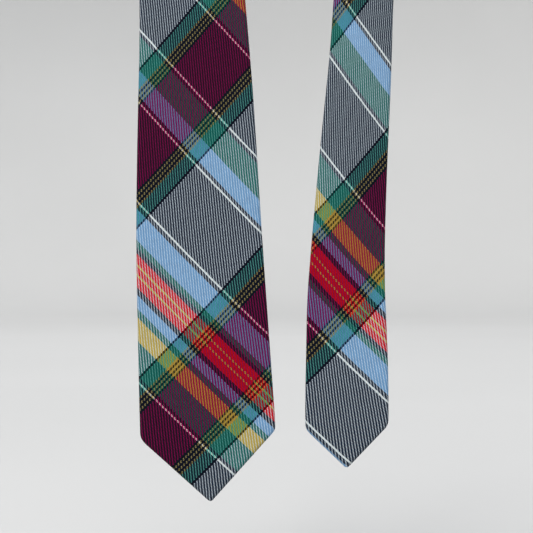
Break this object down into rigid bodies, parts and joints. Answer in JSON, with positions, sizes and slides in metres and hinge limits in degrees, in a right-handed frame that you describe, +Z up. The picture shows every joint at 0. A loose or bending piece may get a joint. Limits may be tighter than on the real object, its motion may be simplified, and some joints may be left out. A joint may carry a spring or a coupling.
{
  "type": "necktie",
  "caption": "Self-tipped wool necktie draped round a collar, its wide blade and narrower tail hanging side by side with pointed ends.",
  "frame": {"origin": "on the collar's vertical axis, level with the middle of the neckband at the nape", "axes": "+Z up, the wearer's front faces -Y, the blade hangs at -X and the tail at +X"},
  "size_m": [0.1735, 0.098, 0.6551],
  "materials": {
    "plaid_wool": "napped twill, checked",
    "interlining_wool": "brushed",
    "lining_cloth": "satin",
    "sewing_thread": "twisted thread",
    "label_cloth": "woven satin, blank"
  },
  "bodies": {
    "neckband": {"neck_shell": "plaid_wool", "neck_interlining": "interlining_wool", "neck_slip_stitch": "sewing_thread", "blade_neck_seam": "sewing_thread", "tail_neck_seam": "sewing_thread"},
    "blade": {"blade_shell": "plaid_wool", "blade_interlining": "interlining_wool", "blade_tipping": "lining_cloth", "blade_slip_stitch": "sewing_thread", "blade_bar_tack": "sewing_thread", "blade_slack_loop": "sewing_thread", "keeper_loop": "plaid_wool", "keeper_tacks": "sewing_thread", "maker_label": "label_cloth", "label_stitches": "sewing_thread"},
    "tail": {"tail_shell": "plaid_wool", "tail_interlining": "interlining_wool", "tail_tipping": "lining_cloth", "tail_slip_stitch": "sewing_thread", "tail_bar_tack": "sewing_thread", "tail_slack_loop": "sewing_thread"}
  },
  "joints": [
    {"name": "blade_swing", "type": "hinge", "parent": "neckband", "child": "blade", "pos_m": [-0.06599, -0.04681, -0.10476], "axis": [-1, 0, 0], "range_deg": [-45, 45]},
    {"name": "tail_swing", "type": "hinge", "parent": "neckband", "child": "tail", "pos_m": [0.06599, -0.04681, -0.10476], "axis": [-1, 0, 0], "range_deg": [-45, 45]}
  ]
}
